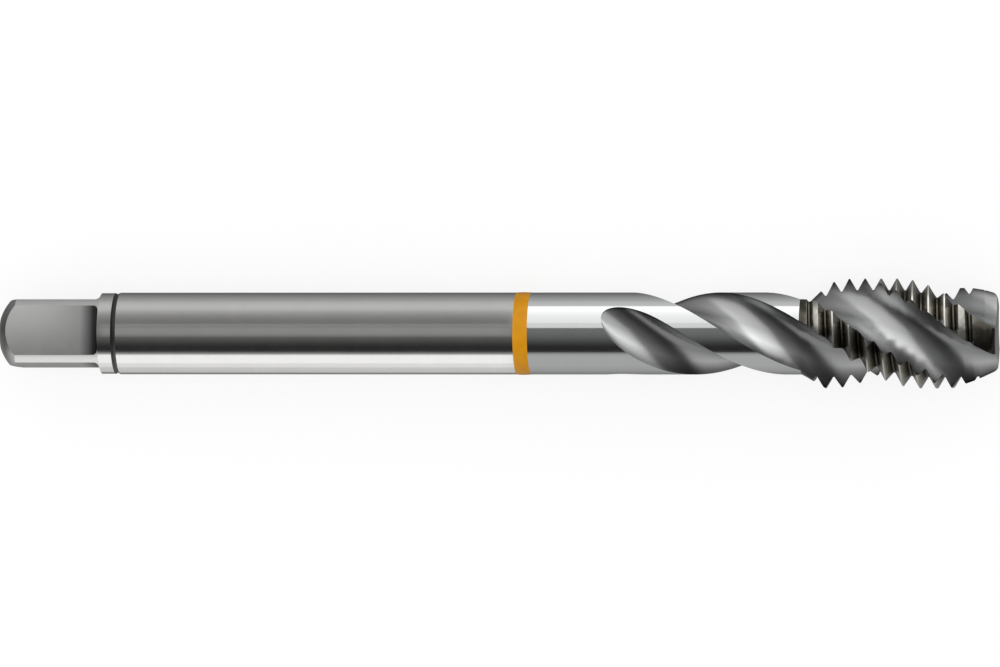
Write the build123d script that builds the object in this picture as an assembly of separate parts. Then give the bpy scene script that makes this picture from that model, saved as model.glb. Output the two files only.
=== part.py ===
"""Right-hand spiral-flute machine tap, M12 x 1.75, with a reduced plain shank.

Everything is drawn standing on the domed end, with the axis along Z and heights
measured from that end. The finished tap is then laid down along X as it comes to
rest on the plane Z = 0: domed end at -X, cutting tip at +X, the thinner shank a
little lower than the head. Turn angles run right-handed about the axis, from the
middle of one flat of the square.
Millimetres and degrees throughout.
"""

import os
from math import acos, asin, atan, atan2, cos, degrees, radians, sin, tan

from build123d import *

# Lengths marked "from the tip" are measured back from the cutting end
overall_length = 110.0

# Shank and driving square
shank_diameter = 9.0
across_flats = 7.0
flat_length = 11.2
shoulder_fillet = 0.5
end_flat_diameter = 4.0
dome_radius = 5.43

# Turned collar, parted by a relief groove from the ground shank and its lead-in
collar_diameter = 8.9
collar_end = 12.7
relief_depth = 0.15
shank_lead_in = 0.4

# Lacquer ring in its own shallow groove, both deepest and highest at mid-width
ring_to_flutes = 8.1
ring_width = 1.6
ring_edge_depth = 0.06
ring_middle_depth = 0.09
ring_bulge = 0.04

# Thread
thread_diameter = 12.0
thread_pitch = 1.75
thread_angle = 60.0
crest_width = 0.15
gap_floor_width = 0.16
gap_angle_at_tip = 283.7
thread_length = 21.4  # from the tip
back_chamfer_angle = 30.0

# Cutting chamfer and rounded tip
lead_length = 5.0  # from the tip
lead_angle = 18.5
tip_rounding = 0.7

# Flutes: rake side in front of the cutting edge, heel side behind it
flute_count = 3
flute_lead = 45.0
core_diameter = 4.8
rake_side_radius = 3.6
heel_side_radius = 6.9
flute_angle_at_tip = 45.6
flute_length = 43.1  # from the tip, run-out included
run_out_length = 9.0
run_out_turn = 13.0
run_out_steps = 7
steps_per_turn = 20

# As it lies: the thread crest that touches the surface underneath, and how far the tap
# is turned from having its first flat upright at +Y
crest_touch = 9.6  # from the tip
rest_roll = -19.6

# Derived sizes
shank_radius = shank_diameter / 2
collar_radius = collar_diameter / 2
relief_radius = collar_radius - relief_depth
relief_floor = collar_end + relief_depth
shank_start = relief_floor + shank_lead_in
flat_distance = across_flats / 2
crest_radius = thread_diameter / 2
core_radius = core_diameter / 2
end_flat_radius = end_flat_diameter / 2
head_start = overall_length - thread_length
lead_start = overall_length - lead_length
run_out_start = overall_length - flute_length
run_out_end = run_out_start + run_out_length
ring_end = run_out_start - ring_to_flutes
ring_start = ring_end - ring_width
ring_middle = (ring_start + ring_end) / 2
flank_slope = tan(radians(thread_angle / 2))
thread_depth = (thread_pitch - crest_width - gap_floor_width) / flank_slope / 2
root_radius = crest_radius - thread_depth
ring_groove = [
    (shank_radius, ring_start),
    (shank_radius - ring_edge_depth, ring_start),
    (shank_radius - ring_middle_depth, ring_middle),
    (shank_radius - ring_edge_depth, ring_end),
    (shank_radius, ring_end),
]
rest_tilt = atan((crest_radius - shank_radius) / (overall_length - crest_touch - shank_start))
clear = 0.6
land_pitch = 360 / flute_count


def blank():
    """Turned and ground outline of the whole tap, before any cutting."""
    inner_angle = degrees(asin(end_flat_radius / dome_radius))
    outer_angle = degrees(asin(collar_radius / dome_radius))
    dome_centre = dome_radius * cos(radians(inner_angle))
    full_thread = head_start + (crest_radius - shank_radius) / tan(radians(back_chamfer_angle))
    tip_radius = crest_radius - lead_length * tan(radians(lead_angle))
    dome = CenterArc(
        (0, dome_centre), dome_radius, inner_angle - 90, outer_angle - inner_angle
    )
    outline = Polyline(
        dome @ 1,
        (collar_radius, collar_end),
        (relief_radius, relief_floor),
        (shank_radius, shank_start),
        *ring_groove,
        (shank_radius, head_start),
        (crest_radius, full_thread),
        (crest_radius, lead_start),
        (tip_radius, overall_length),
        (0, overall_length),
        (0, 0),
        dome @ 0,
    )
    face = make_face(Plane.XZ * (dome + outline))
    corner = face.vertices().sort_by(Axis.Z)[-2:].sort_by(Axis.X)[-1]
    return revolve(fillet(corner, tip_rounding), axis=Axis.Z)


def flat_cutter():
    """Removes the metal outside one flat, up to a square shoulder with a small fillet."""
    reach = shank_radius + clear
    side = Polyline(
        (flat_distance + shoulder_fillet, flat_length),
        (reach, flat_length),
        (reach, -clear),
        (flat_distance, -clear),
        (flat_distance, flat_length - shoulder_fillet),
    )
    corner = CenterArc(
        (flat_distance + shoulder_fillet, flat_length - shoulder_fillet),
        shoulder_fillet, 180, -90,
    )
    return extrude(make_face(Plane.XZ * (side + corner)), shank_diameter, both=True)


def flute_edge(side_radius, outer):
    """Angle along a side arc, from the deepest point to where it reaches outer."""
    centre = core_radius + side_radius
    return acos((centre**2 + side_radius**2 - outer**2) / (2 * centre * side_radius))


def side_point(side_radius, turned):
    """Point of a side arc, turned radians from the deepest point."""
    return core_radius + side_radius * (1 - cos(turned)), side_radius * sin(turned)


def edge_angle(side_radius):
    """Angle about the axis from the deepest point to the edge at the thread crest."""
    edge_x, edge_y = side_point(side_radius, flute_edge(side_radius, crest_radius))
    return degrees(atan2(edge_y, edge_x))


def flute_angle(height):
    """Turn angle of the first flute's deepest line at a height."""
    return flute_angle_at_tip + 360 * (height - overall_length) / flute_lead


def gap_angle(height):
    """Turn angle of the thread groove at a height."""
    return gap_angle_at_tip + 360 * (height - overall_length) / thread_pitch


def flute_section():
    """Closed section of the space of one flute, its deepest point on +X."""
    outer = crest_radius + clear
    rake_turn = flute_edge(rake_side_radius, outer)
    heel_turn = flute_edge(heel_side_radius, outer)
    rake_x, rake_y = side_point(rake_side_radius, rake_turn)
    rake_mid_x, rake_mid_y = side_point(rake_side_radius, rake_turn / 2)
    heel_end = side_point(heel_side_radius, heel_turn)
    heel_mid = side_point(heel_side_radius, heel_turn / 2)
    rake_side = ThreePointArc((rake_x, -rake_y), (rake_mid_x, -rake_mid_y), (core_radius, 0))
    heel_side = ThreePointArc((core_radius, 0), heel_mid, heel_end)
    outside = ThreePointArc(heel_end, (outer, 0), (rake_x, -rake_y))
    return Wire([rake_side.edge(), heel_side.edge(), outside.edge()])


def flute_cutter():
    """Twisted space of the first flute; near the shank it rises out of the metal."""
    section = flute_section()
    rise = shank_radius - core_radius
    straight = overall_length + clear - run_out_end
    straight_steps = round(straight / flute_lead * steps_per_turn)
    heights = [run_out_start + run_out_length * k / run_out_steps for k in range(-1, run_out_steps)]
    heights += [run_out_end + straight * k / straight_steps for k in range(straight_steps + 1)]
    rings = []
    for height in heights:
        left = max(run_out_end - height, 0) / run_out_length
        lifted = Pos(rise * left**3, 0, height) * section
        turn = flute_angle(height) + run_out_turn * left**3
        rings.append(Rotation(0, 0, turn) * lifted)
    return Solid.make_loft(rings)


def gap_cutter(half_span):
    """Short run of the V groove between two thread turns, centred on +X."""
    top = crest_radius + clear
    floor_half = gap_floor_width / 2
    top_half = floor_half + (top - root_radius) * flank_slope
    groove = Polyline(
        (root_radius, -floor_half),
        (top, -top_half),
        (top, top_half),
        (root_radius, floor_half),
        close=True,
    )
    climb = thread_pitch * half_span / 360
    path = Edge.make_helix(thread_pitch, 2 * climb, root_radius)
    run = Solid.sweep(Wire((Plane.XZ * groove).edges()), path, is_frenet=True)
    return Rotation(0, 0, -half_span) * Pos(0, 0, -climb) * run


def tooth_gaps():
    """Every gap between teeth, each one laid across the land that it crosses."""
    land_centre = (land_pitch + edge_angle(heel_side_radius) - edge_angle(rake_side_radius)) / 2
    cutter = gap_cutter(land_pitch * 0.4)
    # Along one land the gaps are a little more than a pitch apart, as the land
    # turns the same way as the thread. The lands take them in turn.
    step = 1 / (1 / thread_pitch - 1 / flute_lead) / flute_count
    behind = (gap_angle_at_tip - flute_angle_at_tip - land_centre) % land_pitch
    last_height = overall_length - step * behind / land_pitch
    gaps = []
    for number in range(int((last_height - head_start) / step) + 1):
        height = last_height - number * step
        gaps.append(Pos(0, 0, height) * Rotation(0, 0, gap_angle(height)) * cutter)
    return gaps


def lay_down(shape):
    """Lays the standing tap on its side, on a crest and on the edge of its ground shank."""
    end_x = -overall_length * cos(rest_tilt) / 2
    end_height = shank_radius * cos(rest_tilt) - shank_start * sin(rest_tilt)
    bed = Plane(
        origin=(end_x, 0, end_height),
        x_dir=(0, 1, 0),
        z_dir=(cos(rest_tilt), 0, sin(rest_tilt)),
    )
    return bed.location * Rotation(0, 0, rest_roll) * shape


# The tap, from its blank to its teeth
tap = blank()
for number in range(4):
    tap -= Rotation(0, 0, 90 * number) * flat_cutter()
flute = flute_cutter()
for number in range(flute_count):
    tap -= Rotation(0, 0, land_pitch * number) * flute
tap -= tooth_gaps()

# The lacquer ring, face to face with its groove
ring_section = Polyline(*ring_groove, (shank_radius + ring_bulge, ring_middle), close=True)
ring = revolve(make_face(Plane.XZ * ring_section), axis=Axis.Z)

os.makedirs("parts", exist_ok=True)
export_step(lay_down(tap), "parts/tap_body.step")
export_step(lay_down(ring), "parts/colour_ring.step")
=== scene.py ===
"""Looks of the spiral-flute thread tap: ground shank, polished neck, satin flutes, lacquer ring.

Lengths are in millimetres and angles in degrees. Heights are measured along the tap from its
domed end, and turns go about its axis, from its side (+Y) over the top.
"""

import math

import bmesh
import bpy
from mathutils import Matrix, Vector


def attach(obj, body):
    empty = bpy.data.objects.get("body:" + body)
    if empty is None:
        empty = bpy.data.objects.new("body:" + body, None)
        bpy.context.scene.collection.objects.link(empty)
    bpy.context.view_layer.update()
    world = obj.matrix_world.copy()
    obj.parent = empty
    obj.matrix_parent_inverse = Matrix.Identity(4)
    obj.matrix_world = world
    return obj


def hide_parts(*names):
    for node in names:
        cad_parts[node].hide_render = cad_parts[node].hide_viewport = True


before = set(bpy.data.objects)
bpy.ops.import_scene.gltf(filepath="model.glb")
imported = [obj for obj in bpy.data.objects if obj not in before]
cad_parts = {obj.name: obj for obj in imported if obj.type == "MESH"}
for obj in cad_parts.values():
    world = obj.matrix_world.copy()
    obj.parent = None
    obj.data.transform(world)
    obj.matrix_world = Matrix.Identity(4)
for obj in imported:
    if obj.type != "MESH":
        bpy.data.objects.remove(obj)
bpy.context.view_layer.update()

MM = 0.001

# How the tap lies, as in the part's source
LENGTH = 110.0
SHANK_START = 13.25
REST_ROLL = -19.6
CREST_TOUCH = LENGTH - 9.6

# Thread and chamfers
FLUTE_COUNT = 3
FLUTE_LEAD = 45.0
THREAD_PITCH = 1.75
FLANK_ANGLE = 30.0
BACK_CHAMFER_ANGLE = 30.0
LEAD_ANGLE = 18.5

# The tap's sizes, as the named inputs of its node tree
SIZES = {
    "Shank radius": 4.5,
    "Crest radius": 6.0,
    "Root radius": 4.7529,
    "Thread pitch": THREAD_PITCH,
    "Pitch along a land": 1 / (1 / THREAD_PITCH - 1 / FLUTE_LEAD),
    "Crest width": 0.15,
    "Gap floor width": 0.16,
    "Head start": 88.6,
    "Head end": 109.522,
    "Back chamfer slope": math.tan(math.radians(BACK_CHAMFER_ANGLE)),
    "Lead start": 105.0,
    "Lead slope": math.tan(math.radians(LEAD_ANGLE)),
    "Core radius": 2.4,
    "Rake side radius": 3.6,
    "Heel side radius": 6.9,
    "Flute lead": FLUTE_LEAD,
    "Flute turn at tip": 45.6,
    "Run-out start": 66.9,
    "Run-out length": 9.0,
    "Run-out turn": 13.0,
    "Roll": REST_ROLL,
}
SHANK = SIZES["Shank radius"]
HEAD_START = SIZES["Head start"]
RUN_OUT_START = SIZES["Run-out start"]
RUN_OUT_END = RUN_OUT_START + SIZES["Run-out length"]
RUN_OUT_CURVE = 3.0
GAP_TURN_AT_TIP = 283.7
TIP_ROUNDING = 0.7
TIP_FLAT = 3.823
TILT = math.atan((SIZES["Crest radius"] - SHANK) / (CREST_TOUCH - SHANK_START))

# Square and collar
DOME_RADIUS = 5.43
END_FLAT = 2.0
FLAT_DISTANCE = 3.5
FLAT_END = 11.2
SHOULDER_FILLET = 0.5
COLLAR = 4.45
COLLAR_END = 12.7
RELIEF = 4.3
SHOULDER_CORNER = math.acos((FLAT_DISTANCE + SHOULDER_FILLET) / COLLAR)

# Lacquer ring and its groove
RING_START = 57.2
RING_END = 58.8
RING_MIDDLE = (RING_START + RING_END) / 2
RING_EDGE_DEPTH = 0.06
RING_MIDDLE_DEPTH = 0.09
RING_BULGE = 0.04
RING_EDGE_RISE = 0.002
RING_STEPS = 120
CROWN_STEPS = 6

# Columns of faces round the tap: each flute's rake side, heel side and land, each of the
# square's flats and corners
COLUMNS = 240
RAKE_COLUMNS = 20
HEEL_COLUMNS = 36
LAND_COLUMNS = 24
FLUTE_COLUMNS = RAKE_COLUMNS + HEEL_COLUMNS
SECTOR_COLUMNS = FLUTE_COLUMNS + LAND_COLUMNS
FLAT_COLUMNS = 40
CORNER_COLUMNS = 20
QUARTER_COLUMNS = FLAT_COLUMNS + CORNER_COLUMNS

# Rows of faces along the tap
DOME_RADII = (END_FLAT, 2.4, 2.8, 3.15, 3.5, 3.52, 3.6, 3.75, 3.95, 4.15, 4.3, COLLAR)
SHOULDER_ROWS = 6
SHANK_ROWS = (SHANK_START, 20.0, 32.0, 45.0)
NECK_ROWS = 16
RUN_OUT_ROWS = 20
RUN_OUT_CROWDING = 1.7  # above 1, rows lie closer together where the flutes begin
FLUTED_ROWS = 24
TEETH_BEHIND = 13  # behind the tooth nearest to the tip's face
FLANK_CLIMBS = (0, 0.33, 0.67, 1)
ROUNDING_ROWS = 6
TIP_SHRINKS = (0.66, 0.33, 0)
NO_FLAT = 99.0
NO_TOOTH = (0, 0, 0)

# Finishes of the rows of faces, and of the flutes
SQUARE, GROUND, POLISHED, TEETH, FLUTES, RELIEVED = range(6)

# Edges steeper than these angles stay sharp
TAP_SHARP = 14
RING_SHARP = 30

# Where the photograph was taken from
CAMERA_TURN = 76.4
CAMERA_DISTANCE = 1100.0
CAMERA_OPPOSITE = 186.0  # height of the place on the axis that the camera is square to
IMAGE_WIDTH = 1000
LEFT_END = 3
RIGHT_END = 998

# Axes of the lying tap: along it, to its side (+Y) and up from it
along = Vector((math.cos(TILT), 0, math.sin(TILT)))
side = Vector((0, 1, 0))
up = Vector((-math.sin(TILT), 0, math.cos(TILT)))
domed_end = Vector(
    (
        -LENGTH * math.cos(TILT) / 2,
        0,
        SHANK * math.cos(TILT) - SHANK_START * math.sin(TILT),
    )
)


def on_axis(height):
    """Point of the tap's axis at a height, in metres."""
    return (domed_end + along * height) * MM


def turned(angle):
    """Direction at a turn about the tap's axis."""
    return side * math.cos(math.radians(angle)) + up * math.sin(math.radians(angle))


class Value:
    """A socket in an expression: its operators add Math nodes to the socket's tree."""

    def __init__(self, nodes, socket):
        self.nodes = nodes
        self.socket = socket

    def other(self, name):
        """Another output of the same node."""
        return Value(self.nodes, self.socket.node.outputs[name])

    def math(self, operation, *others, clamp=False):
        settings = {"operation": operation, "use_clamp": clamp}
        return self.nodes.add("ShaderNodeMath", settings, [self, *others])

    def __add__(self, other):
        return self.math("ADD", other)

    def __sub__(self, other):
        return self.math("SUBTRACT", other)

    def __rsub__(self, number):
        return self.nodes.add("ShaderNodeMath", {"operation": "SUBTRACT"}, [number, self])

    def __mul__(self, other):
        return self.math("MULTIPLY", other)

    __rmul__ = __mul__

    def __truediv__(self, other):
        return self.math("DIVIDE", other)

    def __pow__(self, other):
        return self.math("POWER", other)

    def __neg__(self):
        return self.math("MULTIPLY", -1.0)

    def __gt__(self, other):
        return self.math("GREATER_THAN", other)

    def __lt__(self, other):
        return self.math("LESS_THAN", other)

    def least(self, other):
        return self.math("MINIMUM", other)

    def most(self, other):
        return self.math("MAXIMUM", other)

    def clamped(self):
        """The value, held between 0 and 1."""
        return self.math("ADD", 0.0, clamp=True)

    def ramp(self, start, end):
        """From 0, where the value is start, to 1, where it is end."""
        return ((self - start) / (end - start)).clamped()

    def towards(self, other, share):
        """From this value, at a share of 0, to the other, at a share of 1."""
        return self + (other - self) * share

    def whole_times(self, size):
        """How many whole times the size goes into this value, which may fall just short."""
        return (self / size + 0.001).math("FLOOR")


class Nodes:
    """Adds nodes to one tree, each with its settings and the values or links of its inputs."""

    def __init__(self, tree):
        self.tree = tree
        tree.nodes.clear()

    def add(self, kind, settings=None, inputs=(), output=0):
        node = self.tree.nodes.new(kind)
        for name, value in (settings or {}).items():
            if name == "stops":
                self.set_stops(node.color_ramp, value)
            else:
                setattr(node, name, value)
        pairs = inputs.items() if isinstance(inputs, dict) else enumerate(inputs)
        for key, value in pairs:
            if isinstance(value, Value):
                self.tree.links.new(value.socket, node.inputs[key])
            else:
                node.inputs[key].default_value = value
        return Value(self, node.outputs[output]) if len(node.outputs) else None

    @staticmethod
    def set_stops(ramp, stops):
        while len(ramp.elements) > 1:
            ramp.elements.remove(ramp.elements[-1])
        for number, (position, level) in enumerate(stops):
            element = ramp.elements[0] if number == 0 else ramp.elements.new(position)
            element.position = position
            element.color = grey(level)

    def split(self, vector):
        """The three numbers of a vector."""
        first = self.add("ShaderNodeSeparateXYZ", inputs=[vector])
        return first, first.other("Y"), first.other("Z")

    def vector(self, *numbers):
        return self.add("ShaderNodeCombineXYZ", inputs=list(numbers))

    def blend(self, share, first, second):
        """A colour between two colours."""
        made = self.add("ShaderNodeMix", {"data_type": "RGBA"}, {0: share, 6: first, 7: second})
        return Value(self, made.socket.node.outputs[2])

    def stored(self, name, kind="FLOAT"):
        """An attribute of the geometry, by its name."""
        return self.add("GeometryNodeInputNamedAttribute", {"data_type": kind}, {"Name": name})

    def store(self, geometry, name, domain, value):
        """The geometry, with a number kept as an attribute of its points or faces."""
        settings = {"data_type": "FLOAT", "domain": domain}
        inputs = {"Geometry": geometry, "Name": name, "Value": value}
        return self.add("GeometryNodeStoreNamedAttribute", settings, inputs)


def grey(level):
    return (level, level, level, 1)


# ---- Shape ----


def tap_rows():
    """The rings of points along the tap, from the middle of its domed end to its tip."""
    rows = []

    def square_ring(height, radius, flat, corner):
        """A ring cut by the flats; corner is the half turn that a flat takes up."""
        rows.append(((height, radius, 1.0), (flat, corner, 0.0), NO_TOOTH, SQUARE))

    def round_ring(height, radius, finish, fluted=1.0, shrink=1.0, tooth=NO_TOOTH):
        """A ring past the square, where fluted goes from 0 to 1 as the flutes take over."""
        square = (NO_FLAT, SHOULDER_CORNER, fluted)
        rows.append(((height, radius, shrink), square, tooth, finish))

    dome_centre = math.sqrt(DOME_RADIUS**2 - END_FLAT**2)
    square_ring(0, 0, FLAT_DISTANCE, 0.0)
    for radius in DOME_RADII:
        height = dome_centre - math.sqrt(DOME_RADIUS**2 - radius**2)
        square_ring(height, radius, FLAT_DISTANCE, math.acos(min(FLAT_DISTANCE / radius, 1)))
    for step in range(SHOULDER_ROWS + 1):
        turn = math.radians(90 * step / SHOULDER_ROWS)
        height = FLAT_END - SHOULDER_FILLET * (1 - math.sin(turn))
        flat = FLAT_DISTANCE + SHOULDER_FILLET * (1 - math.cos(turn))
        square_ring(height, COLLAR, flat, math.acos(flat / COLLAR))

    plain = [
        (FLAT_END, COLLAR, GROUND),
        (COLLAR_END, COLLAR, RELIEVED),
        (COLLAR_END + COLLAR - RELIEF, RELIEF, RELIEVED),
    ]
    plain += [(height, SHANK, GROUND) for height in SHANK_ROWS]
    plain += [
        (RING_START, SHANK, GROUND),
        (RING_START, SHANK - RING_EDGE_DEPTH, GROUND),
        (RING_MIDDLE, SHANK - RING_MIDDLE_DEPTH, GROUND),
        (RING_END, SHANK - RING_EDGE_DEPTH, GROUND),
    ]
    for height, radius, finish in plain:
        round_ring(height, radius, finish, fluted=0.0)

    for step in range(NECK_ROWS + 1):
        height = RING_END + (RUN_OUT_START - RING_END) * step / NECK_ROWS
        round_ring(height, SHANK, POLISHED, fluted=step / NECK_ROWS)
    for step in range(1, RUN_OUT_ROWS + 1):
        share = (step / RUN_OUT_ROWS) ** RUN_OUT_CROWDING
        round_ring(RUN_OUT_START + SIZES["Run-out length"] * share, SHANK, POLISHED)
    for step in range(1, FLUTED_ROWS + 1):
        height = RUN_OUT_END + (HEAD_START - RUN_OUT_END) * step / FLUTED_ROWS
        round_ring(height, SHANK, POLISHED if step < FLUTED_ROWS else TEETH)

    # The node tree shifts each tooth with its turn, and cuts it to the blank
    pitch = SIZES["Pitch along a land"]
    middle = LENGTH - pitch * (0.5 + (GAP_TURN_AT_TIP - SIZES["Flute turn at tip"]) / 360)
    middle -= pitch * TEETH_BEHIND
    while middle < LENGTH + pitch:
        for beside, climbs in ((-1, FLANK_CLIMBS), (1, FLANK_CLIMBS[::-1])):
            for climb in climbs:
                round_ring(middle, SHANK, TEETH, tooth=(1, beside, climb))
        middle += pitch

    for step in range(ROUNDING_ROWS + 1):
        turn = math.radians(LEAD_ANGLE + (90 - LEAD_ANGLE) * step / ROUNDING_ROWS)
        height = LENGTH - TIP_ROUNDING * (1 - math.sin(turn))
        radius = TIP_FLAT + TIP_ROUNDING * math.cos(turn)
        round_ring(height, radius, TEETH if step < ROUNDING_ROWS else SQUARE)
    for shrink in TIP_SHRINKS:
        round_ring(LENGTH, TIP_FLAT, SQUARE, shrink=shrink)
    return rows


def rows_object(name):
    """An object that holds only the rings' sizes, one point for each ring."""
    rows = tap_rows()
    mesh = bpy.data.meshes.new(name)
    mesh.from_pydata([row[0] for row in rows], [], [])
    for number, attribute in ((1, "square"), (2, "tooth")):
        layer = mesh.attributes.new(attribute, "FLOAT_VECTOR", "POINT")
        for point, row in zip(layer.data, rows):
            point.vector = row[number]
    layer = mesh.attributes.new("finish", "FLOAT", "POINT")
    for point, row in zip(layer.data, rows):
        point.value = row[3]
    made = bpy.data.objects.new(name, mesh)
    bpy.context.scene.collection.objects.link(made)
    return made


def edge_along(side_radius, core, outer):
    """Turn along a flute side's arc from the deepest line to the radius outer."""
    centre = core + side_radius
    cosine = centre * centre + side_radius * side_radius - outer * outer
    cosine = cosine / (centre * side_radius * 2)
    return cosine.least(1.0).most(-1.0).math("ARCCOSINE")


def edge_turn(side_radius, core, outer):
    """Turn about the tap's axis from the deepest line to the same place."""
    along_arc = edge_along(side_radius, core, outer)
    across = side_radius * along_arc.math("SINE")
    outwards = core.least(outer) + side_radius * (1 - along_arc.math("COSINE"))
    return across.math("ARCTAN2", outwards)


def blank_radius(size, height):
    """Radius of the head before its flutes and teeth are cut."""
    rising = size["Shank radius"] + (height - size["Head start"]) * size["Back chamfer slope"]
    falling = size["Crest radius"] - (height - size["Lead start"]) * size["Lead slope"]
    return rising.least(falling).least(size["Crest radius"])


def tooth_point(size, middle, beside, climb):
    """Height and radius of a point of a tooth's flank, where the blank may cut its crest off."""
    stretch = size["Pitch along a land"] / size["Thread pitch"]
    flank = math.tan(math.radians(FLANK_ANGLE))
    floor_half = (size["Thread pitch"] - size["Gap floor width"]) / 2
    edge = middle
    for _ in range(2):
        crest = blank_radius(size, edge).most(size["Root radius"])
        half = size["Crest width"] / 2 + (size["Crest radius"] - crest) * flank
        edge = middle + beside * half * stretch
    half = floor_half.towards(half, climb)
    height = middle + beside * half * stretch
    height = height.most(size["Head start"]).least(size["Head end"])
    radius = size["Root radius"].towards(crest, climb)
    return height, radius.least(blank_radius(size, height))


def tap_point(nodes, size, column, ring):
    """Where a point of the grid goes (along the tap, to its side and up), and its place
    across a flute."""
    height, radius, shrink = ring["position"]
    flat, corner, fluted = ring["square"]
    toothed, beside, climb = ring["tooth"]

    # Place among the columns of one flute and its land
    sector = column.whole_times(SECTOR_COLUMNS)
    step = column - sector * SECTOR_COLUMNS
    rake_part = (1 - step / RAKE_COLUMNS).clamped()
    heel_part = ((step - RAKE_COLUMNS) / HEEL_COLUMNS).clamped()
    land_part = ((step - FLUTE_COLUMNS) / LAND_COLUMNS).clamped()
    land_pitch = math.radians(360 / FLUTE_COUNT)

    # Teeth follow the thread round the tap
    rake, heel = size["Rake side radius"], size["Heel side radius"]
    rake_edge = edge_turn(rake, size["Core radius"], size["Crest radius"])
    heel_edge = edge_turn(heel, size["Core radius"], size["Crest radius"])
    turn = heel_edge * heel_part - rake_edge * rake_part
    turn = turn + (land_pitch - rake_edge - heel_edge) * land_part + sector * land_pitch
    middle = height + size["Pitch along a land"] * turn / (2 * math.pi)
    tooth_height, tooth_radius = tooth_point(size, middle, beside, climb)
    height = height.towards(tooth_height, toothed)
    radius = radius.towards(tooth_radius, toothed)

    # Flutes: two arcs that meet at the deepest line, lifted just clear where they run out
    run_out_end = size["Run-out start"] + size["Run-out length"]
    left = ((run_out_end - height) / size["Run-out length"]).clamped() ** RUN_OUT_CURVE
    core = size["Core radius"].towards(size["Shank radius"] + 0.0005, left)
    rake_arc = edge_along(rake, core, radius) * rake_part
    heel_arc = edge_along(heel, core, radius) * heel_part
    outwards = rake * (1 - rake_arc.math("COSINE")) + heel * (1 - heel_arc.math("COSINE"))
    outwards = outwards + core.least(radius)
    across = heel * heel_arc.math("SINE") - rake * rake_arc.math("SINE")
    land = land_pitch - edge_turn(rake, core, radius) - edge_turn(heel, core, radius)
    fluted_turn = across.math("ARCTAN2", outwards) + land * land_part + sector * land_pitch
    twisted = height.most(size["Run-out start"]) - LENGTH
    twist = size["Flute turn at tip"] + 360 * twisted / size["Flute lead"]
    twist = twist + size["Run-out turn"] * left + 360
    fluted_turn = fluted_turn + twist * math.radians(1)
    fluted_radius = (across * across + outwards * outwards).math("SQRT")

    # Square: four flats and the corners between them
    quarter = column.whole_times(QUARTER_COLUMNS)
    step = column - quarter * QUARTER_COLUMNS
    flat_part = (step / FLAT_COLUMNS).clamped()
    corner_part = ((step - FLAT_COLUMNS) / CORNER_COLUMNS).clamped()
    from_flat = corner * (flat_part * 2 - 1)
    right_angle = math.radians(90)
    square_turn = from_flat + (right_angle - corner * 2) * corner_part
    square_turn = square_turn + (quarter + 1) * right_angle
    square_radius = radius.least(flat / from_flat.math("COSINE"))

    turn = square_turn.towards(fluted_turn, fluted) + size["Roll"] * math.radians(1)
    radius = square_radius.towards(fluted_radius, fluted) * shrink
    point = nodes.vector(height, radius * turn.math("COSINE"), radius * turn.math("SINE"))

    # Shares of the whole arcs, up to the uncut blank; 0.001 only keeps them from zero
    uncut = blank_radius(size, height).most(size["Shank radius"])
    across_flute = heel_arc / edge_along(heel, core, uncut).most(0.001)
    across_flute = across_flute - rake_arc / edge_along(rake, core, uncut).most(0.001)
    return point, across_flute


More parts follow.
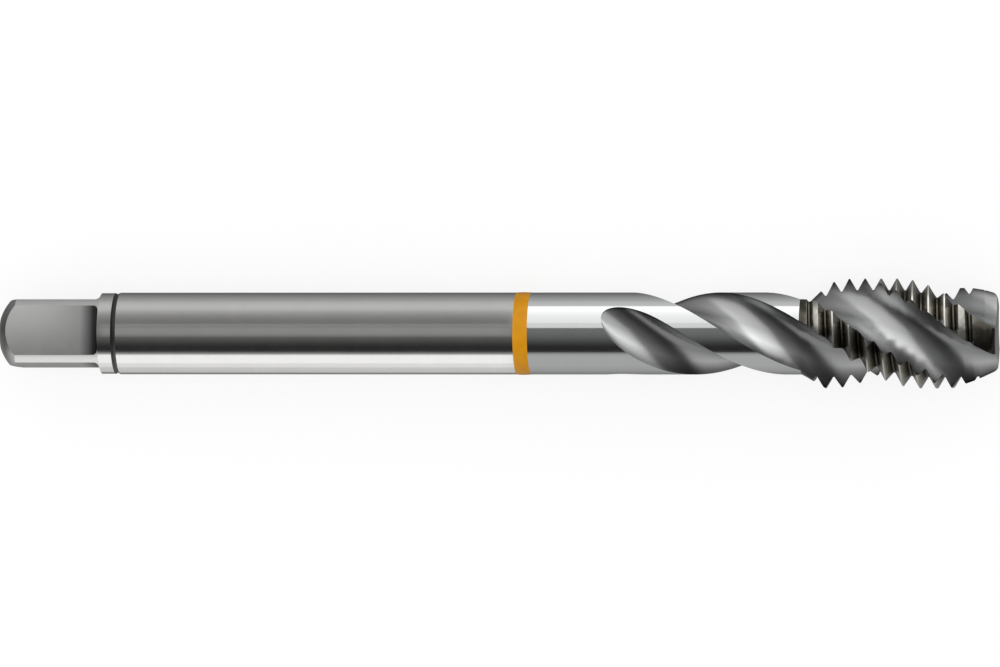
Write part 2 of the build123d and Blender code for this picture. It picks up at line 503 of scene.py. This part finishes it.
def tap_tree(finishes):
    """Node tree that turns the rings into the whole tap, cut by its flats, flutes and teeth."""
    tree = bpy.data.node_groups.new("tap_form", "GeometryNodeTree")
    tree.interface.new_socket("Rings", in_out="INPUT", socket_type="NodeSocketGeometry")
    for name in SIZES:
        tree.interface.new_socket(name, in_out="INPUT", socket_type="NodeSocketFloat")
    tree.interface.new_socket("Tap", in_out="OUTPUT", socket_type="NodeSocketGeometry")
    nodes = Nodes(tree)
    rings = nodes.add("NodeGroupInput", output="Rings")
    size = {name: rings.other(name) for name in SIZES}
    count = nodes.add("GeometryNodeAttributeDomainSize", inputs=[rings], output="Point Count")
    vertices = {"Vertices X": COLUMNS + 1, "Vertices Y": count}
    grid = nodes.add("GeometryNodeMeshGrid", inputs={"Size X": 1.0, "Size Y": 1.0, **vertices})
    position = nodes.add("GeometryNodeInputPosition")
    place_x, place_y, _ = nodes.split(position)
    columns_before = (place_x + 0.5) * COLUMNS
    rings_before = (place_y + 0.5) * (count - 1)

    def at_ring(number, value, kind="FLOAT_VECTOR"):
        """What the rings hold at one of them."""
        settings = {"data_type": kind}
        return nodes.add("GeometryNodeSampleIndex", settings, [rings, value, number])

    # Each face remembers the finish of its ring, or that it lies in a flute
    face_column = columns_before.math("FLOOR")
    face_ring = rings_before.math("FLOOR")
    finish = at_ring(face_ring, nodes.stored("finish"), "FLOAT")
    face_height = nodes.split(at_ring(face_ring, position))[0]
    step = face_column - face_column.whole_times(SECTOR_COLUMNS) * SECTOR_COLUMNS
    in_flute = (step < FLUTE_COLUMNS - 0.5) * (finish > POLISHED - 0.5)
    in_flute = in_flute * (face_height > RUN_OUT_START - 0.01)
    finish = finish.towards(float(FLUTES), in_flute)
    grid = nodes.store(grid, "finish", "FACE", finish)

    # Each point remembers its place across a flute, from -1 at the cutting edge to 1
    point_ring = rings_before.math("ROUND")
    ring = {"position": nodes.split(at_ring(point_ring, position))}
    for name in ("square", "tooth"):
        stored = nodes.stored(name, "FLOAT_VECTOR")
        ring[name] = nodes.split(at_ring(point_ring, stored))
    point, across_flute = tap_point(nodes, size, columns_before.math("ROUND"), ring)
    grid = nodes.store(grid, "across_flute", "POINT", across_flute)

    inputs = {"Geometry": grid, "Position": point}
    formed = nodes.add("GeometryNodeSetPosition", inputs=inputs)
    inputs = {"Geometry": formed, "Distance": 0.002}
    closed = nodes.add("GeometryNodeMergeByDistance", inputs=inputs)
    inputs = {
        "Geometry": closed,
        "Translation": domed_end * MM,
        "Rotation": (0, -TILT, 0),
        "Scale": (MM, MM, MM),
    }
    laid = nodes.add("GeometryNodeTransform", inputs=inputs)
    shape = nodes.add("GeometryNodeRealizeInstances", inputs=[laid])
    stored = nodes.stored("finish")
    for number, finished in enumerate(finishes):
        inputs = {"Geometry": shape, "Material": finished}
        if number:
            inputs["Selection"] = stored > number - 0.5
        shape = nodes.add("GeometryNodeSetMaterial", inputs=inputs)
    nodes.add("NodeGroupOutput", inputs={"Tap": shape})
    return tree


def sharpened(mesh, angle):
    """Makes the faces smooth, and keeps the edges that are steeper than an angle sharp."""
    built = bmesh.new()
    built.from_mesh(mesh)
    bmesh.ops.dissolve_degenerate(built, edges=built.edges, dist=1e-7)
    for face in built.faces:
        face.smooth = True
    for edge in built.edges:
        if len(edge.link_faces) == 2 and edge.calc_face_angle(0) > math.radians(angle):
            edge.smooth = False
    built.to_mesh(mesh)
    built.free()


def round_normals(mesh):
    """Exact normals on the ground and polished rounds, so that reflections run straight."""
    outwards = []
    for point in mesh.vertices:
        from_end = point.co - domed_end * MM
        outwards.append(from_end - along * from_end.dot(along))
    near = 0.005 * MM
    normals = [(0, 0, 0)] * len(mesh.loops)  # zeros leave a normal as it is
    for face in mesh.polygons:
        if face.material_index not in (GROUND, POLISHED):
            continue
        around = [outwards[number] for number in face.vertices]
        if all(abs(radius.length - SHANK * MM) < near for radius in around):
            for loop, radius in zip(face.loop_indices, around):
                normals[loop] = radius.normalized()
    mesh.normals_split_custom_set(normals)


def make_tap(finishes):
    """The whole tap as one closed mesh."""
    rings = rows_object("tap_rings")
    modifier = rings.modifiers.new("form", "NODES")
    modifier.node_group = tap_tree(finishes)
    for socket in modifier.node_group.interface.items_tree:
        if socket.name in SIZES:
            modifier[socket.identifier] = SIZES[socket.name]
    rings.update_tag()
    ready = bpy.context.evaluated_depsgraph_get()
    mesh = bpy.data.meshes.new_from_object(rings.evaluated_get(ready))
    bpy.data.objects.remove(rings)
    mesh.materials.pop(index=0)  # the grid's own empty slot
    sharpened(mesh, TAP_SHARP)
    round_normals(mesh)
    mesh.name = "tap"
    piece = bpy.data.objects.new("tap", mesh)
    bpy.context.scene.collection.objects.link(piece)
    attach(piece, "root")
    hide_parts("tap_body")


def make_ring(finish):
    """The lacquer ring: a low crowned band in its groove, closed on itself."""
    half = (RING_END - RING_START) / 2
    section = [(-half, -RING_EDGE_DEPTH), (0, -RING_MIDDLE_DEPTH), (half, -RING_EDGE_DEPTH)]
    section.append((half, RING_EDGE_RISE))
    for step in range(1, 2 * CROWN_STEPS):
        rise = math.sin(math.pi / 2 * min(step, 2 * CROWN_STEPS - step) / CROWN_STEPS)
        section.append((half * (1 - step / CROWN_STEPS), RING_BULGE * rise**0.7))
    section.append((-half, RING_EDGE_RISE))
    built = bmesh.new()
    loops = []
    for number in range(RING_STEPS):
        outwards = turned(360 * number / RING_STEPS)
        points = [
            on_axis(RING_MIDDLE + offset) + outwards * (SHANK + rise) * MM
            for offset, rise in section
        ]
        loops.append([built.verts.new(point) for point in points])
    for number, loop in enumerate(loops):
        following = loops[(number + 1) % RING_STEPS]
        for place in range(len(section)):
            beside = (place + 1) % len(section)
            built.faces.new((loop[place], loop[beside], following[beside], following[place]))
    bmesh.ops.recalc_face_normals(built, faces=built.faces)
    mesh = bpy.data.meshes.new("ring")
    built.to_mesh(mesh)
    built.free()
    sharpened(mesh, RING_SHARP)
    mesh.materials.append(finish)
    piece = bpy.data.objects.new("ring", mesh)
    bpy.context.scene.collection.objects.link(piece)
    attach(piece, "root")
    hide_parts("colour_ring")


# ---- Finishes ----

PAINTED_SHADE_COLOUR = (0.03, 0.03, 0.032, 1)  # dark colour of the shade painted into a finish
LINE_DEPTH = 0.00002  # metres


def new_material(name):
    made = bpy.data.materials.new(name)
    made.use_nodes = True
    return made, Nodes(made.node_tree)


def lying_coordinates(nodes):
    """Object coordinates turned to the tap: X along it from the domed end, in millimetres."""
    place = nodes.add("ShaderNodeTexCoord", output="Object")
    settings = {"operation": "SUBTRACT"}
    shifted = nodes.add("ShaderNodeVectorMath", settings, [place, domed_end * MM])
    settings = {"rotation_type": "Y_AXIS"}
    level = nodes.add("ShaderNodeVectorRotate", settings, {"Vector": shifted, "Angle": TILT})
    settings = {"operation": "SCALE"}
    return nodes.add("ShaderNodeVectorMath", settings, {"Vector": level, "Scale": 1 / MM})


def noise(nodes, vector, scale):
    inputs = {"Vector": vector, "Scale": scale, "Detail": 3.0, "Roughness": 0.55}
    return nodes.add("ShaderNodeTexNoise", inputs=inputs)


def finish_with(made, nodes, inputs, lines=None, bump=0.0):
    """Ends a material's tree with its shader, raised a little by its fine lines."""
    if lines:
        raised = {"Strength": bump, "Distance": LINE_DEPTH, "Height": lines}
        inputs["Normal"] = nodes.add("ShaderNodeBump", inputs=raised)
    shader = nodes.add("ShaderNodeBsdfPrincipled", inputs=inputs)
    nodes.add("ShaderNodeOutputMaterial", inputs={"Surface": shader})
    return made


def steel(name, dark, bright, roughness, spread, lines_across, bump, streak=1.0, shade=None):
    """Bare steel: a patchy colour, fine lines round the tap from cutting or grinding, and painted
    shade where a shade is given.
    """
    made, nodes = new_material(name)
    place = lying_coordinates(nodes)
    height, across, upwards = nodes.split(place)
    lined = nodes.vector(height * lines_across, across * streak, upwards * streak)
    lines = noise(nodes, lined, 1.0)
    patches = noise(nodes, place, 0.45)
    colour = nodes.blend(patches.towards(lines, 0.4), dark, bright)
    if shade:
        radius = (across * across + upwards * upwards).math("SQRT")
        # Painted shade: the colour darkens towards the dark shade colour as much as the shade
        # gives
        colour = nodes.blend(shade(nodes, height, radius), colour, PAINTED_SHADE_COLOUR)
    inputs = {
        "Base Color": colour,
        "Metallic": 1.0,
        "Roughness": (lines - 0.5) * spread + (patches - 0.5) * spread + roughness,
    }
    return finish_with(made, nodes, inputs, lines, bump)


def tooth_steel():
    """The thread's finish: bare at the crests, with painted shade, darker and warmer in tone,
    down in the gaps.
    """
    made, nodes = new_material("cut_thread")
    place = lying_coordinates(nodes)
    height, across, upwards = nodes.split(place)
    radius = (across * across + upwards * upwards).math("SQRT")
    # Painted shade: the colour darkens from the crests down to the roots of the thread
    from_root = radius.ramp(SIZES["Root radius"], SIZES["Root radius"] + 1.25)
    patches = noise(nodes, place, 1.6)
    unshaded = (from_root * 1.1 + (patches - 0.5) * 0.5).clamped() ** 1.5
    lines = noise(nodes, nodes.vector(height * 3.0, across * 0.6, upwards * 0.6), 2.0)
    inputs = {
        "Base Color": nodes.blend(unshaded, (0.11, 0.102, 0.082, 1), (0.82, 0.80, 0.74, 1)),
        "Metallic": 1.0,
        "Roughness": patches * 0.12 + 0.16,
    }
    return finish_with(made, nodes, inputs, lines, 0.15)


def ring_lacquer():
    """Yellow-orange lacquer, thinner and darker in places."""
    made, nodes = new_material("ring_lacquer")
    patches = noise(nodes, lying_coordinates(nodes), 0.9)
    inputs = {
        "Base Color": nodes.blend(patches, (0.60, 0.245, 0.0, 1), (0.80, 0.34, 0.0, 1)),
        "Roughness": patches * 0.12 + 0.24,
        "Specular IOR Level": 0.25,
    }
    return finish_with(made, nodes, inputs)


def painted_shoulder_shade(nodes, height, radius):
    """Painted shade on the flats, deepening towards their shoulder."""
    rising = height.ramp(FLAT_END - 2.0, FLAT_END - 0.5)
    return rising * (height < FLAT_END + 0.01) * (radius < COLLAR - 0.02) * 0.95


def painted_flute_shade(nodes, height, radius):
    """Painted shade: a dark line down each cutting edge, dark ends of the teeth, and darker
    metal on both sides of a band down each flute, which leaves that band as a painted highlight."""
    across = nodes.add("ShaderNodeAttribute", {"attribute_name": "across_flute"}).other("Fac")
    rake = (-across).clamped() ** 3.5 * 0.97
    heel = across.ramp(0.5, 0.9) * 0.62
    floor = across.ramp(0.45, 0.05) * 0.42
    teeth = across.ramp(0.72, 0.98) * height.ramp(HEAD_START, HEAD_START + 2.0) * 0.92
    return rake.most(heel).most(floor).most(teeth)


# In the order of the finishes' numbers
finishes = [
    steel(
        "milled_square",
        dark=(0.60, 0.60, 0.59, 1),
        bright=(0.72, 0.72, 0.71, 1),
        roughness=0.33,
        spread=0.10,
        lines_across=3.0,
        bump=0.10,
        shade=painted_shoulder_shade,
    ),
    steel(
        "ground_shank",
        dark=(0.70, 0.695, 0.68, 1),
        bright=(0.80, 0.795, 0.78, 1),
        roughness=0.13,
        spread=0.05,
        lines_across=14.0,
        bump=0.03,
        streak=0.2,
    ),
    steel(
        "polished_neck",
        dark=(0.76, 0.77, 0.77, 1),
        bright=(0.84, 0.85, 0.85, 1),
        roughness=0.09,
        spread=0.04,
        lines_across=9.0,
        bump=0.02,
        streak=0.2,
    ),
    tooth_steel(),
    steel(
        "satin_flutes",
        dark=(0.72, 0.725, 0.725, 1),
        bright=(0.80, 0.805, 0.805, 1),
        roughness=0.26,
        spread=0.02,
        lines_across=6.0,
        bump=0.02,
        shade=painted_flute_shade,
    ),
    # Very dark: shade painted into the relief groove through its colour
    steel(
        "relief_groove",
        dark=(0.10, 0.10, 0.10, 1),
        bright=(0.16, 0.16, 0.16, 1),
        roughness=0.5,
        spread=0.10,
        lines_across=6.0,
        bump=0.10,
    ),
]
make_tap(finishes)
make_ring(ring_lacquer())

# ---- Studio ----

# Levels of the room that polished steel reflects, by degrees of turn from the camera
ROOM = [
    (-180, 0.12), (-150, 0.16), (-126, 0.30), (-110, 0.41), (-97, 0.56), (-86, 0.61), (-74, 0.60),
    (-64, 0.45), (-54, 0.33), (-44, 0.25), (-35, 0.21), (-26, 0.20), (-16, 0.17), (-6, 0.17),
    (6, 0.14), (16, 0.10), (26, 0.055), (36, 0.025), (46, 0.02), (53, 0.04), (58, 0.30),
    (66, 0.44), (100, 0.44), (130, 0.36), (152, 0.24),
]
END_WALLS = 0.86  # share of a direction along the tap at which the room's ends are dimmest
END_WALLS_SPREAD = 0.4
END_WALLS_LEVEL = 0.4

# Level of the surroundings for matt surfaces: in the middle, how fast it falls from over the
# tap, as the camera sees it, to under it, and the most that it can be
SOFT_LEVEL = 0.95
SOFT_FALL = 0.35
SOFT_MOST = 1.3

# Soft panels: name, first and last turn from the camera, start and end along the tap, level
PANELS = [
    ("panel_over_neck", -75, -14, 56, 150, 0.45),
    ("panel_over_neck_far", -76, -27, 56, 150, 0.14),
    ("panel_under_shank", 57, 136, -40, 55.6, 0.25),
    ("panel_under_shank_middle", 56, 102, -40, 55.6, 0.14),
    ("panel_under_shank_near", 56, 84, -40, 55.6, 0.16),
    ("panel_before_shank", -24, 8, 9, 55.6, 0.07),
    ("panel_before_shank_middle", -14, 3, 9, 55.6, 0.04),
    ("panel_over_square", -45, -10, -14, 4.5, 0.45),
]
PANEL_DISTANCE = 20
PANEL_POWER = 4  # watts for each square metre of a panel, at level 1


def make_floor():
    """A pale floor that the camera sees almost white, with the tap's shadow."""
    bpy.ops.mesh.primitive_plane_add(size=4)
    floor = bpy.context.object
    floor.name = "floor"
    pale, nodes = new_material("pale_floor")
    seen = nodes.add("ShaderNodeLightPath", output="Is Camera Ray")
    matt = nodes.add("ShaderNodeBsdfDiffuse", inputs={"Color": grey(0.25)})
    glow = nodes.add("ShaderNodeEmission", inputs={"Color": grey(1), "Strength": seen * 0.79})
    both = nodes.add("ShaderNodeAddShader", inputs=[matt, glow])
    nodes.add("ShaderNodeOutputMaterial", inputs={"Surface": both})
    floor.data.materials.append(pale)
    floor.visible_glossy = False


def make_world():
    """Even white for what is matt, and a room of light and dark for what is polished."""
    world = bpy.data.worlds.new("studio")
    bpy.context.scene.world = world
    world.use_nodes = True
    nodes = Nodes(world.node_tree)
    x, y, z = nodes.split(nodes.add("ShaderNodeTexCoord", output="Generated"))
    turn = z.math("ARCTAN2", y) / (2 * math.pi)
    turn = (turn - CAMERA_TURN / 360 + 1.5).math("FRACT")
    stops = [((degrees + 180) / 360, level) for degrees, level in ROOM]
    levels = nodes.add("ShaderNodeValToRGB", {"stops": stops}, [turn])
    ends = ((END_WALLS - x.math("ABSOLUTE")) / END_WALLS_SPREAD).clamped()
    ends = ends * (1 - END_WALLS_LEVEL) + END_WALLS_LEVEL
    levels = nodes.blend(ends, grey(0), levels)
    polished = nodes.add("ShaderNodeLightPath", output="Is Glossy Ray")
    camera_turn = math.radians(CAMERA_TURN)
    over = y * math.sin(camera_turn) - z * math.cos(camera_turn)
    soft = (over * SOFT_FALL + SOFT_LEVEL) / SOFT_MOST
    soft = nodes.blend(soft, grey(0), grey(SOFT_MOST))
    colour = nodes.blend(polished, soft, levels)
    background = nodes.add("ShaderNodeBackground", inputs={"Color": colour})
    nodes.add("ShaderNodeOutputWorld", inputs={"Surface": background})


def make_panel(name, first, last, start, end, level):
    """A soft panel beside the tap, which only polished surfaces show."""
    outwards = turned(CAMERA_TURN + (first + last) / 2)
    light = bpy.data.lights.new(name, "AREA")
    light.shape = "RECTANGLE"
    light.size = (end - start) * MM
    light.size_y = 2 * PANEL_DISTANCE * math.tan(math.radians((last - first) / 2)) * MM
    light.energy = level * PANEL_POWER * light.size * light.size_y
    panel = bpy.data.objects.new(name, light)
    bpy.context.scene.collection.objects.link(panel)
    place = on_axis((start + end) / 2) + outwards * PANEL_DISTANCE * MM
    facing = Matrix((along, outwards.cross(along), outwards)).transposed().to_4x4()
    panel.matrix_world = Matrix.Translation(place) @ facing
    panel.visible_camera = False
    panel.visible_diffuse = False


def make_camera():
    """As far from the tap as the photograph shows, opposite a place beyond the tip, and
    turned towards the middle of the tap so that it fills the frame."""
    towards_camera = turned(CAMERA_TURN)
    image_up = turned(CAMERA_TURN - 90)
    eye = on_axis(CAMERA_OPPOSITE) + towards_camera * CAMERA_DISTANCE * MM
    left_angle = math.atan(-CAMERA_OPPOSITE / CAMERA_DISTANCE)
    right_angle = math.atan((LENGTH - CAMERA_OPPOSITE) / CAMERA_DISTANCE)
    yaw = (left_angle + right_angle) / 2
    half_view = math.tan((right_angle - left_angle) / 2)
    look = -towards_camera * math.cos(yaw) + along * math.sin(yaw)
    right = along * math.cos(yaw) + towards_camera * math.sin(yaw)
    data = bpy.data.cameras.new("camera")
    camera = bpy.data.objects.new("camera", data)
    bpy.context.scene.collection.objects.link(camera)
    bpy.context.scene.camera = camera
    data.sensor_width = 36
    data.lens = (RIGHT_END - LEFT_END) / 2 / half_view / IMAGE_WIDTH * data.sensor_width
    data.clip_start = 0.01
    data.clip_end = 10
    facing = Matrix((right, image_up, -look)).transposed().to_4x4()
    camera.matrix_world = Matrix.Translation(eye) @ facing


make_floor()
make_world()
for panel in PANELS:
    make_panel(*panel)
make_camera()

bpy.context.scene.view_settings.view_transform = "Standard"
